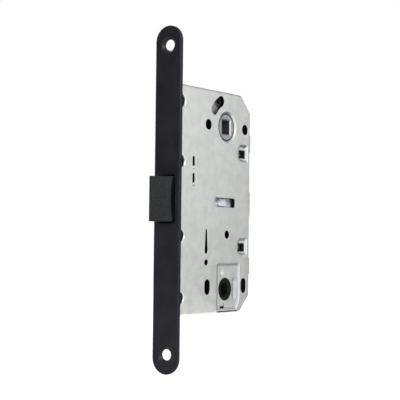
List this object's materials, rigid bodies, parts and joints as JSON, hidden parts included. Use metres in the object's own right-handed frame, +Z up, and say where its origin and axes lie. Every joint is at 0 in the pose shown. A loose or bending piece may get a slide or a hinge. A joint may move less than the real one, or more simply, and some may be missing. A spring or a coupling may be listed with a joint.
{
  "type": "interior door lock",
  "caption": "Mortise privacy lock for an interior door: black round-ended faceplate and wedge latch, galvanised case, lever follower above and privacy hub below.",
  "frame": {"origin": "middle of the faceplate's front face, halfway between its two screw holes", "axes": "+X into the door, away from the faceplate's front; +Z up along the faceplate; +Y from the case's shell to its cover"},
  "size_m": [0.085, 0.018, 0.196],
  "materials": {
    "plate_coating": "satin black powder coat",
    "black_plastic": "moulded, matt",
    "latch_plastic": "moulded, fine grain",
    "zinc_plated_sheet": "galvanised sheet, faintly mottled",
    "bright_steel": "turned and zinc plated",
    "spring_steel": "drawn wire",
    "lever_steel": "blanked plate",
    "dark_steel": "blackened eyelet",
    "cast_zinc": "die cast, as tumbled",
    "white_plastic": "moulded acetal",
    "rubber": "soft black"
  },
  "bodies": {
    "case": {"faceplate": "plate_coating", "faceplate_lugs": "black_plastic", "case_shell": "zinc_plated_sheet", "case_cover": "zinc_plated_sheet", "rear_posts": "black_plastic", "cover_screws": "bright_steel", "latch_buffers": "rubber", "latch_guides": "white_plastic", "spring_abutment": "zinc_plated_sheet", "tail_guide": "white_plastic", "retractor_pin": "bright_steel", "retractor_spacer": "bright_steel", "follower_pins": "bright_steel", "slide_spring_seat": "zinc_plated_sheet", "detent_spring": "spring_steel", "cover_rivets": "bright_steel", "latch_spring": "spring_steel", "slide_spring": "spring_steel", "follower_spring": "spring_steel"},
    "handle": {"handle_follower": "cast_zinc", "follower_eyelet": "dark_steel"},
    "retractor": {"retractor_lever": "lever_steel"},
    "latch": {"latch_head": "latch_plastic", "latch_carriage": "white_plastic"},
    "privacy": {"privacy_hub": "black_plastic"},
    "slide": {"blocking_slide": "black_plastic", "slide_guide_pins": "bright_steel"}
  },
  "joints": [
    {"name": "handle_turn", "type": "hinge", "parent": "case", "child": "handle", "pos_m": [0.05, 0, 0.0445], "axis": [0, 1, 0], "range_deg": [0, 36], "stiffness_Nm_per_rad": 0.3, "deforming": ["follower_spring"]},
    {"name": "retractor_swing", "type": "hinge", "parent": "case", "child": "retractor", "pos_m": [0.034, 0, 0.026], "axis": [0, 1, 0], "range_deg": [-25.3, 0]},
    {"name": "latch_slide", "type": "slide", "parent": "case", "child": "latch", "axis": [1, 0, 0], "range_m": [0, 0.0088], "stiffness_N_per_m": 450, "deforming": ["latch_spring"]},
    {"name": "privacy_turn", "type": "hinge", "parent": "case", "child": "privacy", "pos_m": [0.05, 0, -0.0515], "axis": [0, 1, 0], "range_deg": [0, 90], "deforming": ["detent_spring"]},
    {"name": "blocking_lift", "type": "slide", "parent": "case", "child": "slide", "axis": [0, 0, 1], "range_m": [0, 0.005], "deforming": ["slide_spring"]}
  ],
  "couplings": [
    {"joint": "handle_turn", "follows": "latch_slide", "rad_per_m": 71.39},
    {"joint": "retractor_swing", "follows": "latch_slide", "rad_per_m": -49.98},
    {"joint": "privacy_turn", "follows": "blocking_lift", "rad_per_m": 314.15}
  ]
}
